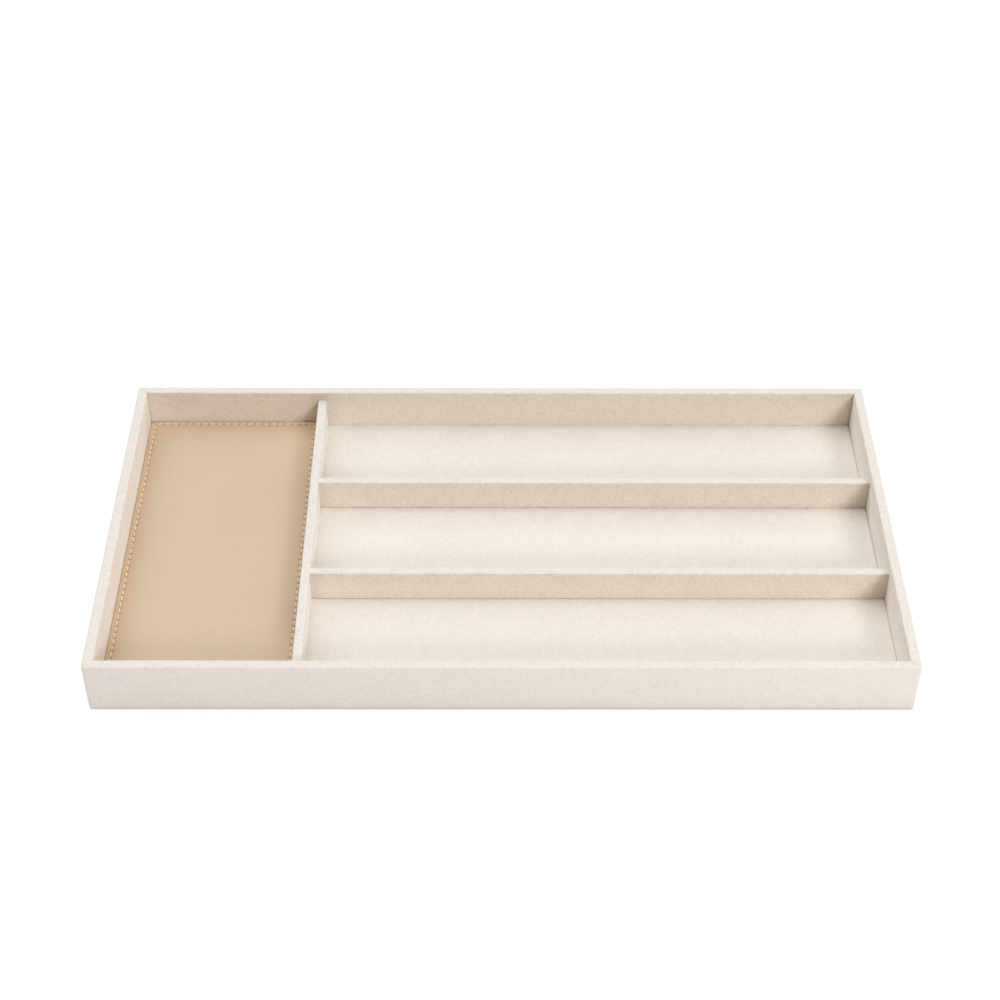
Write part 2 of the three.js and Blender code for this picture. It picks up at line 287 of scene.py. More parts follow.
def wall_section():
    """(across, height) points round a wall's covering, the shown ones first, and their count."""
    rim = HEIGHT - RIM_RADIUS
    bottom = BASE_TOP + GLUE_LINE
    turned = BASE_EDGE - GLUE_LINE
    under = RIM_RADIUS - SUEDE
    shown = [
        *line((WALL, bottom), (WALL, rim), 8),
        *arc((WALL - RIM_RADIUS, rim), RIM_RADIUS, 0, 1, 6),
        *line((WALL - RIM_RADIUS, HEIGHT), (RIM_RADIUS, HEIGHT), 3)[1:],
        *arc((RIM_RADIUS, rim), RIM_RADIUS, 1, 2, 6),
        *line((0, rim), (0, FOOT + FOOT_RADIUS), 9)[1:],
        *arc((FOOT_RADIUS, FOOT + FOOT_RADIUS), FOOT_RADIUS, 2, 3, 5),
    ]
    hidden = [
        (turned, FOOT),
        (turned, FOOT + SUEDE),
        (SUEDE, FOOT + SUEDE),
        *arc((RIM_RADIUS, rim), under, 2, 1, 3),
        *arc((WALL - RIM_RADIUS, rim), under, 1, 0, 3),
        (WALL - SUEDE, bottom),
    ]
    return [*shown, *hidden], len(shown)


def divider_section(width):
    """(across, height) points round a divider's covering, the shown ones first, and their count."""
    half = width / 2
    bottom = BASE_TOP + GLUE_LINE
    top = DIVIDER_TOP - RIM_RADIUS
    under = RIM_RADIUS - SUEDE
    shown = [
        *line((half, bottom), (half, top), 7),
        *arc((half - RIM_RADIUS, top), RIM_RADIUS, 0, 1, 6),
        *line((half - RIM_RADIUS, DIVIDER_TOP), (RIM_RADIUS - half, DIVIDER_TOP), 3)[1:],
        *arc((RIM_RADIUS - half, top), RIM_RADIUS, 1, 2, 6),
        *line((-half, top), (-half, bottom), 7)[1:],
        np.array((-half, bottom)),
    ]
    hidden = [
        (SUEDE - half, bottom),
        *arc((RIM_RADIUS - half, top), under, 2, 1, 3),
        *arc((half - RIM_RADIUS, top), under, 1, 0, 3),
        (half - SUEDE, bottom),
    ]
    return [*shown, *hidden], len(shown)


def round_corner(point):
    """Eases the tray's upright outer corners from square to round."""
    x, y, z = point
    out_x = abs(x) - (HALF_X - CORNER_RADIUS)
    out_y = abs(y) - (HALF_Y - CORNER_RADIUS)
    if min(out_x, out_y) <= 0:
        return x, y, z
    scale = max(out_x, out_y) / math.hypot(out_x, out_y)
    new_x = HALF_X - CORNER_RADIUS + out_x * scale
    new_y = HALF_Y - CORNER_RADIUS + out_y * scale
    return math.copysign(new_x, x), math.copysign(new_y, y), z


def mark(made, name, values):
    """Keeps a value for each point of a mesh, for its material."""
    made.data.attributes.new(name, "FLOAT", "POINT").data.foreach_set("value", values)


def mark_faces(made, section, shown, facing, both):
    """Marks a strip's rim and its inner faces for their painted light and shade, and gives back the
    values of the inner faces.
    """
    normal = outward(np.asarray(section, float))
    normal[shown:] = 0
    rings = len(made.data.vertices) // len(section)
    inside = np.abs(normal[:, 0]) if both else np.maximum(normal[:, 0], 0)
    inside = np.tile(inside, rings)
    mark(made, facing, inside)
    mark(made, "rim", np.tile(np.maximum(normal[:, 1], 0), rings))
    return inside


def mark_corner_shade(made, points, inside):
    """Marks inner faces beside the main divider and the right wall for painted corner shade."""
    ends = (VALET_RIGHT, LANE_LEFT, HALF_X - WALL)
    away = np.min([np.abs(points[:, 0] - end) for end in ends], axis=0)
    mark(made, "corner", inside * np.exp(-((away / CORNER_SHADE_REACH) ** 2)))


def wall_coverings(material):
    places = {
        "front": (HALF_X, lambda a, d, z: (a, d - HALF_Y, z)),
        "right": (HALF_Y, lambda a, d, z: (HALF_X - d, a, z)),
        "rear": (HALF_X, lambda a, d, z: (-a, HALF_Y - d, z)),
        "left": (HALF_Y, lambda a, d, z: (d - HALF_X, -a, z)),
    }
    section, shown = wall_section()
    for seed, (side, (half, place)) in enumerate(places.items()):
        def reach(across, half=half):
            return half - across - SEAM_GAP

        def rounded(along, across, height, place=place):
            return round_corner(place(along, across, height))

        rings = strip(section, shown, reach, half - WALL - STRIP_STEP, rounded, seed, TUCK_DEPTH)
        points, faces = loft(rings)
        node = f"{side}_wall_suede"
        name = f"{side}_wall_covering"
        made = piece(name, points, faces, material, "tray", node, STRIP_CREASE)
        # Painted shade on inner faces turned to the front or rear, painted light on inner faces
        # turned to the sides
        facing = "upright" if side in ("front", "rear") else "side"
        inside = mark_faces(made, section, shown, facing, False)
        if facing == "upright":
            mark_corner_shade(made, points, inside)
        # Painted shade on the valet's rear wall, deepening from the main divider towards the left
        if side == "rear":
            away = (VALET_RIGHT - VALET_WALL_SHADE_REACH[0] - points[:, 0]) / VALET_WALL_SHADE_REACH[1]
            mark(made, "valet_wall_shade", inside * np.clip(away, 0, 1))


def divider_covering(node, material, seed):
    low, high = span(node)
    middle = (low + high) / 2
    size = high - low
    on_x = size[0] > size[1]
    half = max(size[:2]) / 2
    width = min(size[:2])

    def reach(_):
        return half + DIVIDER_PRESS

    def place(along, across, height):
        if on_x:
            return middle[0] + along, middle[1] + across, height
        return middle[0] - across, middle[1] + along, height

    section, shown = divider_section(width)
    points, faces = loft(strip(section, shown, reach, half - STRIP_STEP, place, seed, 0))
    name = node.replace("_suede", "_covering")
    made = piece(name, points, faces, material, "tray", node, STRIP_CREASE)
    # Lane dividers take the painted shade of upright faces, the main divider the painted light of
    # side faces
    inside = mark_faces(made, section, shown, "upright" if on_x else "side", True)
    if on_x:
        mark_corner_shade(made, points, inside)


def divider_lap(node, material):
    """The small pointed fold of a lane divider's suede that laps onto the main divider's top."""
    low, high = span(node)
    start = low[0] - GLUE_LINE
    front, rear = low[1] + RIM_RADIUS * 0.6, high[1] - RIM_RADIUS * 0.6
    outline = [
        (start + 2, front),
        (start + 2, rear),
        (start, rear),
        (start - LAP_LENGTH * 0.55, front + (rear - front) * 0.6),
        (start - LAP_LENGTH, front + (rear - front) * 0.22),
        (start - LAP_LENGTH * 0.9, front),
    ]
    middle = np.mean(outline, axis=0)
    bottom = DIVIDER_TOP - 0.3
    rings = []
    for grow, height in ((1.06, bottom), (1.04, DIVIDER_TOP), (0.86, DIVIDER_TOP + LAP_HEIGHT)):
        rings.append([(*(middle + (np.array(p) - middle) * grow), height) for p in outline[::-1]])
    points, faces = loft(rings)
    piece(node.replace("_suede", "_lap"), points, faces, material, "tray")


# Panels: an uneven top on a grid, with its edge carried down and under by rings

def graded(low, high, edge, steps):
    """Coordinates from low to high: the edge distances at both ends, and even steps between."""
    inner = np.linspace(low + edge[-1], high - edge[-1], steps + 1)
    return np.concatenate([low + np.array(edge[:-1]), inner, high - np.array(edge[:-1])[::-1]])


def square_off(point, low, high, radius):
    """Eases a square corner of a panel to the radius, leaving its straight sides alone."""
    x, y = point
    out_x = max(low[0] + radius - x, x - high[0] + radius)
    out_y = max(low[1] + radius - y, y - high[1] + radius)
    if min(out_x, out_y) <= 0:
        return x, y
    scale = max(out_x, out_y) / math.hypot(out_x, out_y)
    side_x = math.copysign(1, x - (low[0] + high[0]) / 2)
    side_y = math.copysign(1, y - (low[1] + high[1]) / 2)
    return x - side_x * out_x * (1 - scale), y - side_y * out_y * (1 - scale)


def panel(low, high, xs, ys, top, below, corner):
    """Points and faces of a panel with its top at top(x, y) and rings of (inset, height) below."""
    points = []
    for y in ys:
        for x in xs:
            points.append((*square_off((x, y), low, high, corner), top(x, y)))
    wide, deep = len(xs), len(ys)
    faces = []
    for j in range(deep - 1):
        for i in range(wide - 1):
            a = j * wide + i
            faces.append((a, a + 1, a + wide + 1, a + wide))
    rim = list(range(wide))
    rim += [j * wide + wide - 1 for j in range(1, deep)]
    rim += [(deep - 1) * wide + i for i in range(wide - 2, -1, -1)]
    rim += [j * wide for j in range(deep - 2, 0, -1)]
    middle = (np.array(low[:2]) + high[:2]) / 2
    half = (np.array(high[:2]) - low[:2]) / 2
    upper = rim
    for inset, height in below:
        start = len(points)
        scale = (half - inset) / half
        for index in rim:
            points.append((*(middle + (np.array(points[index][:2]) - middle) * scale), height))
        lower = list(range(start, start + len(rim)))
        for i in range(len(rim)):
            following = (i + 1) % len(rim)
            faces.append((lower[i], lower[following], upper[following], upper[i]))
        upper = lower
    faces.append(tuple(reversed(upper)))
    return points, faces


def rolled(distance_x, distance_y, radius):
    """How far a rolled edge drops at distances from a panel's sides."""
    short_x, short_y = max(0, radius - distance_x), max(0, radius - distance_y)
    short = min(radius, math.hypot(short_x, short_y))
    return radius - math.sqrt(radius * radius - short * short)


def edge_distances(x, y, low, high):
    return min(x - low[0], high[0] - x), min(y - low[1], high[1] - y)


def floor_panel(node, material, seed):
    low, high = span(node)
    press = np.array((*PANEL_PRESS, 0))
    low, high = low - press, high + press
    low[0] -= PANEL_TUCK
    if node.startswith("rear_lane"):
        high[1] += REAR_TUCK
    xs = graded(low[0], high[0], PANEL_EDGE, round((high[0] - low[0]) / PANEL_STEP))
    ys = graded(low[1], high[1], PANEL_EDGE, round((high[1] - low[1]) / PANEL_STEP))

    def top(x, y):
        lift = uneven((x, y, 0), PANEL_WAVES, seed)
        roll = rolled(*edge_distances(x, y, low, high), PANEL_ROLL)
        return high[2] - PANEL_SINK + lift - roll

    below = [
        (0, low[2] + 0.4),
        (0.1, low[2]),
        (SUEDE, low[2]),
        (SUEDE, high[2] - SUEDE - GLUE_LINE),
    ]
    points, faces = panel(low, high, xs, ys, top, below, PANEL_ROLL)
    name = node.replace("_floor_suede", "_floor_covering")
    made = piece(name, points, faces, material, "tray", node, PANEL_CREASE)
    # The floors take a slightly darker, cooler tone: painted shade
    mark(made, "level", np.ones(len(points)))


def flat_sheet(name, node, material, body, corner):
    """A thin sheet with soft edges, such as the felt underneath or the mat's backing."""
    low, high = span(node)
    xs = graded(low[0], high[0], SHEET_EDGE, round((high[0] - low[0]) / (2 * PANEL_STEP)))
    ys = graded(low[1], high[1], SHEET_EDGE, round((high[1] - low[1]) / (2 * PANEL_STEP)))

    def top(x, y):
        return high[2] - rolled(*edge_distances(x, y, low, high), SHEET_ROLL)

    below = [(0, low[2] + SHEET_ROLL), (SHEET_ROLL, low[2])]
    points, faces = panel(low, high, xs, ys, top, below, corner)
    made = piece(name, points, faces, material, body, node, PANEL_CREASE)


# The mat

def stitch_holes(low, high):
    """Points of the stitch line in order round the mat."""
    corners = [
        (low[0] + STITCH_INSET, low[1] + STITCH_INSET),
        (high[0] - STITCH_INSET, low[1] + STITCH_INSET),
        (high[0] - STITCH_INSET, high[1] - STITCH_INSET),
        (low[0] + STITCH_INSET, high[1] - STITCH_INSET),
    ]
    holes = []
    for side in range(4):
        count = STITCHES_ACROSS if side % 2 == 0 else STITCHES_ALONG
        holes += line(corners[side], corners[(side + 1) % 4], count)
    return holes


def doubled(heights):
    """Heights on a grid with one more smooth value between each two, along the second axis."""
    ends = 2 * heights[:, :1] - heights[:, 1:2], 2 * heights[:, -1:] - heights[:, -2:-1]
    padded = np.concatenate([ends[0], heights, ends[1]], axis=1)
    between = (9 * (padded[:, 1:-2] + padded[:, 2:-1]) - padded[:, :-3] - padded[:, 3:]) / 16
    result = np.empty((heights.shape[0], 2 * heights.shape[1] - 1))
    result[:, 0::2] = heights
    result[:, 1::2] = between
    return result


def blown_up(width, length):
    """Heights of a leather sheet that its stitch holes hold down and its wadding pushes up."""
    wide, deep = STITCHES_ACROSS * CLOTH_STEPS, STITCHES_ALONG * CLOTH_STEPS
    points = []
    for j in range(deep + 1):
        points += [(width * i / wide * MM, length * j / deep * MM, 0) for i in range(wide + 1)]
    faces = []
    for j in range(deep):
        for i in range(wide):
            a = j * (wide + 1) + i
            faces.append((a, a + 1, a + wide + 2, a + wide + 1))
    mesh = bpy.data.meshes.new("blown_up")
    mesh.from_pydata(points, [], faces)
    sheet = bpy.data.objects.new("blown_up", mesh)
    scene = bpy.context.scene
    scene.collection.objects.link(sheet)
    held = []
    for j in range(deep + 1):
        for i in range(wide + 1):
            on_side = i in (0, wide) and j % CLOTH_STEPS == 0
            on_end = j in (0, deep) and i % CLOTH_STEPS == 0
            if on_side or on_end:
                held.append(j * (wide + 1) + i)
    sheet.vertex_groups.new(name="held").add(held, 1, "REPLACE")
    cloth = sheet.modifiers.new("cloth", "CLOTH")
    cloth.settings.quality = 6
    cloth.settings.mass = 0.4
    cloth.settings.tension_stiffness = 60
    cloth.settings.compression_stiffness = 60
    cloth.settings.shear_stiffness = 30
    cloth.settings.bending_stiffness = 4
    cloth.settings.use_pressure = True
    cloth.settings.uniform_pressure_force = CLOTH_PRESSURE
    cloth.settings.effector_weights.gravity = 0
    cloth.settings.vertex_group_mass = "held"
    cloth.point_cache.frame_start = 1
    cloth.point_cache.frame_end = CLOTH_FRAMES
    for number in range(1, CLOTH_FRAMES + 1):
        scene.frame_set(number)
    blown = sheet.evaluated_get(bpy.context.evaluated_depsgraph_get()).data
    places = np.empty(len(blown.vertices) * 3)
    blown.vertices.foreach_get("co", places)
    heights = places.reshape(deep + 1, wide + 1, 3)[:, :, 2] / MM
    scene.frame_set(1)
    bpy.data.objects.remove(sheet)
    bpy.data.meshes.remove(mesh)
    return np.maximum(heights, 0)


def mat_crown(width, length):
    """The crown inside the stitch line, on the leather's own grid, as high as the wadding goes."""
    heights = blown_up(width, length)
    heights = CROWN * np.tanh(heights / CROWN)
    steps = CLOTH_STEPS
    while steps < STEPS_PER_STITCH:
        heights = doubled(doubled(heights).T).T
        steps *= 2
    return heights


def mat_face(low, high, xs, ys, border):
    """Heights of the mat's face over its grid, and how far each point is into a stitch hole."""
    width, length = (high - low)[:2] - 2 * STITCH_INSET
    pitch_x, pitch_y = width / STITCHES_ACROSS, length / STITCHES_ALONG
    x, y = np.meshgrid(xs, ys)
    from_x = np.minimum(x - low[0], high[0] - x)
    from_y = np.minimum(y - low[1], high[1] - y)
    short = np.hypot(np.maximum(0, MAT_ROLL - from_x), np.maximum(0, MAT_ROLL - from_y))
    roll = MAT_ROLL - np.sqrt(MAT_ROLL**2 - np.minimum(short, MAT_ROLL) ** 2)
    drawn = np.zeros_like(x)
    holes = np.zeros_like(x)
    lines = (
        (from_x, from_y, y - low[1] - STITCH_INSET, pitch_y),
        (from_y, from_x, x - low[0] - STITCH_INSET, pitch_x),
    )
    for across, end, along, pitch in lines:
        across = across - STITCH_INSET
        within = 1 / (1 + np.exp(np.clip((STITCH_INSET - 0.4 - end) * 4, -50, 50)))
        phase = np.cos(2 * math.pi * along / pitch)
        channel = CHANNEL_DEPTH * np.exp(-((across / CHANNEL_WIDTH) ** 2)) * (0.75 + 0.25 * phase)
        ripple = PUCKER * phase * np.exp(-np.maximum(across, 0) / PUCKER_REACH) * (across > 0)
        nearest = ((along / pitch + 0.5) % 1 - 0.5) * pitch
        hole = np.exp(-((across / HOLE_RADIUS) ** 2) - (nearest / HOLE_RADIUS) ** 2)
        drawn = np.maximum(drawn, (channel + ripple) * within)
        holes = np.maximum(holes, hole * within)
    heights = border - roll - drawn - HOLE_DEPTH * holes
    crown = mat_crown(width, length)
    edge_x, edge_y = (len(xs) - crown.shape[1]) // 2, (len(ys) - crown.shape[0]) // 2
    heights[edge_y:-edge_y, edge_x:-edge_x] += crown
    return heights, holes


def mat_leather(material):
    low, high = span("mat_leather")
    border = span("mat_thread")[0][2] - GLUE_LINE + BORDER_RISE
    press = np.array((MAT_PRESS, MAT_PRESS, 0))
    low, high = low - press, high + press
    xs = graded(low[0], high[0], MAT_EDGE, STITCHES_ACROSS * STEPS_PER_STITCH)
    ys = graded(low[1], high[1], MAT_EDGE, STITCHES_ALONG * STEPS_PER_STITCH)
    heights, holes = mat_face(low, high, xs, ys, border)

    def level(x, y):
        return heights[np.abs(ys - y).argmin(), np.abs(xs - x).argmin()]

    board_top = span("mat_board")[1][2] + GLUE_LINE
    below = [
        (0.02, border - MAT_ROLL - 0.3),
        (0.12, low[2] + 0.5),
        (MAT_DRAWN_IN, low[2]),
        (LEATHER, low[2]),
        (LEATHER, board_top),
    ]
    points, faces = panel(low, high, xs, ys, level, below, MAT_CORNER)
    points = np.array(points)
    made = piece(
        "valet_mat_leather", points, faces, material, "valet_mat", "mat_leather", PANEL_CREASE
    )
    # Painted shade in the stitch holes
    hole_shade = np.zeros(len(points))
    hole_shade[: holes.size] = holes.ravel()
    mark(made, "hole_shade", hole_shade)
    inset = np.minimum(np.abs(points - low), np.abs(high - points))[:, :2].min(axis=1)
    # Painted shade along the stitch line, where the crown slopes
    mark(made, "edge", np.exp(-np.abs(inset - STITCH_INSET) / STITCH_LINE_SHADE_REACH))
    # Painted light on the border outside the stitch line
    mark(made, "border", np.clip((STITCH_INSET - inset) / BORDER_FADE, 0, 1))
    # Painted light on a band along the rear
    from_rear = high[1] - points[:, 1]
    mark(made, "rear_band_light", np.clip(1 - (from_rear - REAR_BAND_LIGHT_REACH[0]) / REAR_BAND_LIGHT_REACH[1], 0, 1))
    return low, high, level


def tube(path, radius, sides):
    """Points and faces of a tube along a path, closed at both ends."""
    path = np.asarray(path, float)
    along = np.gradient(path, axis=0)
    along /= np.linalg.norm(along, axis=1, keepdims=True)
    rings = []
    for point, way in zip(path, along):
        side = np.cross(way, (0, 0, 1))
        side /= max(np.linalg.norm(side), 1e-6)
        up = np.cross(side, way)
        angles = [2 * math.pi * i / sides for i in range(sides)]
        rings.append([point + radius * (math.cos(a) * up + math.sin(a) * side) for a in angles])
    return loft(rings)


def stitch(start, end, level):
    """The two twisted plies of one stitch, as centrelines, from hole to hole over the leather."""
    start, end = np.array(start), np.array(end)
    way = (end - start) / np.linalg.norm(end - start)
    side = np.array((-way[1], way[0]))
    slant = STITCH_SLANT * (1 + 0.3 * random.uniform(-1, 1))
    first = start + way * STITCH_GAP / 2 - side * slant
    last = end - way * STITCH_GAP / 2 + side * slant
    top = level(*((start + end) / 2)) + STITCH_RISE
    bottom = top - STITCH_RISE - HOLE_DEPTH * 0.7
    turn = random.uniform(0, math.tau)
    plies = ([], [])
    for i in range(PLY_STEPS + 1):
        t = i / PLY_STEPS
        spot = first + (last - first) * t
        arch = math.sin(math.pi * t) ** STITCH_ARCH
        height = bottom + (top - bottom) * arch
        for ply, path in enumerate(plies):
            angle = turn + math.pi * ply + PLY_TURNS * math.tau * t
            out = PLY_RADIUS * PLY_SPREAD
            place = spot + side * out * math.cos(angle)
            path.append((*place, height + out * math.sin(angle)))
    return plies


def mat_stitches(material, low, high, level):
    holes = stitch_holes(low, high)
    points, faces = [], []
    for i, start in enumerate(holes):
        for path in stitch(start, holes[(i + 1) % len(holes)], level):
            ply_points, ply_faces = tube(path, PLY_RADIUS, PLY_SIDES)
            faces += [tuple(len(points) + v for v in f) for f in ply_faces]
            points += ply_points.tolist()
    piece("valet_mat_stitches", points, faces, material, "valet_mat", "mat_thread")


# Materials

def add(tree, kind, **settings):
    node = tree.nodes.new(kind)
    for key, value in settings.items():
        if key in node.inputs:
            node.inputs[key].default_value = value
        else:
            setattr(node, key, value)
    return node


def new_material(name, **settings):
    made = bpy.data.materials.new(name)
    made.use_nodes = True
    tree = made.node_tree
    shader = tree.nodes["Principled BSDF"]
    for key, value in settings.items():
        shader.inputs[key.replace("_", " ")].default_value = value
    return made, tree, shader


def speckle(tree, scale, detail=4, roughness=0.6, stretch=(1, 1, 1)):
    """The value of a noise in the object's own space, with so many features to the metre."""
    coordinates = add(tree, "ShaderNodeTexCoord")
    mapping = add(tree, "ShaderNodeMapping", Scale=stretch)
    texture = add(tree, "ShaderNodeTexNoise", Scale=scale, Detail=detail, Roughness=roughness)
    tree.links.new(coordinates.outputs["Object"], mapping.inputs["Vector"])
    tree.links.new(mapping.outputs["Vector"], texture.inputs["Vector"])
    return texture.outputs["Fac"]


def cells(tree, scale, feature="F1"):
    coordinates = add(tree, "ShaderNodeTexCoord")
    texture = add(tree, "ShaderNodeTexVoronoi", Scale=scale, feature=feature)
    tree.links.new(coordinates.outputs["Object"], texture.inputs["Vector"])
    return texture.outputs["Distance"]


def blend(tree, first, second, share):
    """first and second mixed, with so much of the second."""
    mixed = add(tree, "ShaderNodeMix", Factor=share)
    tree.links.new(first, mixed.inputs["A"])
    tree.links.new(second, mixed.inputs["B"])
    return mixed.outputs["Result"]


def ramp(tree, value, stops):
    node = add(tree, "ShaderNodeValToRGB")
    tree.links.new(value, node.inputs["Fac"])
    elements = node.color_ramp.elements
    while len(elements) < len(stops):
        elements.new(0.5)
    for element, (place, colour) in zip(elements, stops):
        element.position = place
        element.color = (*colour, 1) if len(colour) == 3 else colour
    return node.outputs["Color"]


def grey_range(tree, value, low, high):
    node = add(tree, "ShaderNodeMapRange")
    node.inputs["From Min"].default_value = 0.25
    node.inputs["From Max"].default_value = 0.75
    node.inputs["To Min"].default_value = low
    node.inputs["To Max"].default_value = high
    tree.links.new(value, node.inputs["Value"])
    return node.outputs["Result"]


def bump(tree, shader, height, strength, distance):
    node = add(tree, "ShaderNodeBump", Strength=strength, Distance=distance * MM)
    tree.links.new(height, node.inputs["Height"])
    tree.links.new(node.outputs["Normal"], shader.inputs["Normal"])


def marked(tree, colour, mark_name, other, how):
    """A colour mixed with or multiplied by another one where the mesh is marked."""
    place = add(tree, "ShaderNodeAttribute", attribute_name=mark_name)
    mixed = add(tree, "ShaderNodeMix", data_type="RGBA", blend_type=how)
    factor, first, second = (s for s in mixed.inputs if s.enabled)
    tree.links.new(place.outputs["Fac"], factor)
    tree.links.new(colour, first)
    if isinstance(other, tuple):
        second.default_value = (*other, 1)
    else:
        tree.links.new(other, second)
    return next(s for s in mixed.outputs if s.enabled)


def shaded(colour, factor):
    return tuple(c * factor for c in colour)


def suede_material():
    made, tree, shader = new_material(
        "ivory_suede",
        Specular_IOR_Level=0.15,
        Sheen_Weight=0.45,
        Sheen_Roughness=0.4,
        Sheen_Tint=(1, 0.97, 0.93, 1),
    )
    colour = (0.888, 0.824, 0.75)
    nap = speckle(tree, 1500, 5, 0.7)
    mottle = blend(tree, speckle(tree, 800, 3, 0.6), speckle(tree, 380, 3, 0.6), 0.45)
    brushed = speckle(tree, 26, 3, 0.55, (1, 1.8, 1.8))
    fine = blend(tree, nap, mottle, 0.8)
    drawn = blend(tree, fine, speckle(tree, 150, 2, 0.5), 0.2)
    tone = blend(tree, fine, brushed, 0.1)
    stops = [(0.3, shaded(colour, 0.88)), (0.5, colour), (0.66, shaded(colour, 1.06))]
    shade = ramp(tree, tone, stops)
    # Painted light and shade: each kind of face made lighter or darker as the lamps fall on it
    painted_tones = (
        ("level", LEVEL_SHADE_TONE, 0),
        ("upright", UPRIGHT_SHADE_TONE, 0.08),
        ("side", SIDE_LIGHT_TONE, 0.04),
        ("rim", RIM_SHADE_TONE, 0.04),
        # Painted shade on the valet's rear wall
        ("valet_wall_shade", VALET_WALL_SHADE_TONE, 0),
        # Painted shade in the corners
        ("corner", CORNER_SHADE_TONE, 0),
    )
    for mark_name, painted_tone, contrast in painted_tones:
        dark, light = shaded(painted_tone, 1 - contrast), shaded(painted_tone, 1 + contrast)
        strokes = [(0.3, dark), (0.5, painted_tone), (0.7, light)]
        shade = marked(tree, shade, mark_name, ramp(tree, drawn, strokes), "MULTIPLY")
    tree.links.new(shade, shader.inputs["Base Color"])
    tree.links.new(grey_range(tree, fine, 0.82, 1.0), shader.inputs["Roughness"])
    bump(tree, shader, fine, 0.75, 0.6)
    return made


def felt_material():
    made, tree, shader = new_material("beige_felt", Specular_IOR_Level=0.1, Sheen_Weight=0.2)
    colour = (0.62, 0.55, 0.46)
    fibres = speckle(tree, 900, 6, 0.75, (1, 0.4, 1))
    across = speckle(tree, 900, 6, 0.75, (0.4, 1, 1))
    tone = blend(tree, fibres, across, 0.5)
    stops = [(0.35, shaded(colour, 0.8)), (0.5, colour), (0.65, shaded(colour, 1.15))]
    tree.links.new(ramp(tree, tone, stops), shader.inputs["Base Color"])
    tree.links.new(grey_range(tree, tone, 0.88, 1.0), shader.inputs["Roughness"])
    bump(tree, shader, tone, 0.6, 0.3)
    return made


def leather_material():
    made, tree, shader = new_material("tan_leather", Specular_IOR_Level=0.6)
    colour = (0.614, 0.467, 0.331)
    grain = cells(tree, 1100, "DISTANCE_TO_EDGE")
    pores = speckle(tree, 2400, 3, 0.6)
    cloud = speckle(tree, 18, 3, 0.5)
    patchy = blend(tree, speckle(tree, 160, 4, 0.6), cloud, 0.6)
    tone = blend(tree, patchy, pores, 0.2)
    stops = [(0.3, shaded(colour, 0.94)), (0.5, colour), (0.7, shaded(colour, 1.04))]
    # Painted shade along the stitch line
    edged = marked(tree, ramp(tree, tone, stops), "edge", STITCH_LINE_SHADE_TONE, "MULTIPLY")
    # Painted light on the rear band
    banded = marked(tree, edged, "rear_band_light", REAR_BAND_LIGHT_TONE, "MULTIPLY")
    # Painted light on the border
    bordered = marked(tree, banded, "border", BORDER_LIGHT_TONE, "MULTIPLY")
    # Painted shade in the stitch holes
    holed = marked(tree, bordered, "hole_shade", HOLE_SHADE_COLOUR, "MIX")
    tree.links.new(holed, shader.inputs["Base Color"])
    tree.links.new(grey_range(tree, patchy, 0.5, 0.6), shader.inputs["Roughness"])
    bump(tree, shader, blend(tree, grain, pores, 0.35), 0.22, 0.12)
    return made


def backing_material():
    made, tree, shader = new_material(
        "leather_flesh_side", Specular_IOR_Level=0.15, Sheen_Weight=0.15
    )
    colour = (0.58, 0.44, 0.29)
    fibres = speckle(tree, 700, 6, 0.75)
    tone = blend(tree, fibres, speckle(tree, 60, 3, 0.5), 0.35)
    stops = [(0.32, shaded(colour, 0.82)), (0.5, colour), (0.68, shaded(colour, 1.14))]
    tree.links.new(ramp(tree, tone, stops), shader.inputs["Base Color"])
    tree.links.new(grey_range(tree, fibres, 0.85, 1.0), shader.inputs["Roughness"])
    bump(tree, shader, fibres, 0.5, 0.25)
    return made


def thread_material():
    made, tree, shader = new_material("cream_thread", Specular_IOR_Level=0.3, Sheen_Weight=0.1)
    colour = (0.92, 0.79, 0.61)
    fibres = speckle(tree, 3500, 3, 0.6)
    stops = [(0.3, shaded(colour, 0.85)), (0.55, colour), (0.75, shaded(colour, 1.06))]
    tree.links.new(ramp(tree, fibres, stops), shader.inputs["Base Color"])
    tree.links.new(grey_range(tree, fibres, 0.5, 0.75), shader.inputs["Roughness"])
    bump(tree, shader, fibres, 0.4, 0.05)
    return made


def fibrous_material(name, colour, scale, contrast):
    """Pressed fibre, such as fibreboard, card or wadding."""
    made, tree, shader = new_material(name, Specular_IOR_Level=0.2)
    flecks = speckle(tree, scale, 5, 0.7)
    tone = blend(tree, flecks, speckle(tree, scale * 4, 3, 0.6), 0.4)
    dark, light = shaded(colour, 1 - contrast), shaded(colour, 1 + contrast)
    stops = [(0.3, dark), (0.5, colour), (0.7, light)]
    tree.links.new(ramp(tree, tone, stops), shader.inputs["Base Color"])
    tree.links.new(grey_range(tree, flecks, 0.75, 0.95), shader.inputs["Roughness"])
    bump(tree, shader, tone, 0.3, 0.15)
    return made


def dress_hidden_nodes():
    """Finishes for the boards, cards and wadding that the coverings hide."""
    finishes = {
        "_board": fibrous_material("fibreboard", (0.47, 0.33, 0.19), 500, 0.22),
        "_card": fibrous_material("pulp_card", (0.38, 0.36, 0.32), 650, 0.15),
        "_padding": fibrous_material("wadding", (0.82, 0.78, 0.68), 350, 0.1),
    }
    for name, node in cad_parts.items():
        for ending, material in finishes.items():
            if name.endswith(ending):
                node.data.materials.clear()
                node.data.materials.append(material)


# Studio

def backdrop_ray(tree):
    """1 for a ray that shows the backdrop to the camera, also by gloss or glass, and 0 for light."""
    path = add(tree, "ShaderNodeLightPath")
    seen = path.outputs["Is Camera Ray"]
    for kind in ("Is Glossy Ray", "Is Transmission Ray"):
        either = add(tree, "ShaderNodeMath", operation="MAXIMUM")
        tree.links.new(seen, either.inputs[0])
        tree.links.new(path.outputs[kind], either.inputs[1])
        seen = either.outputs[0]
    return seen


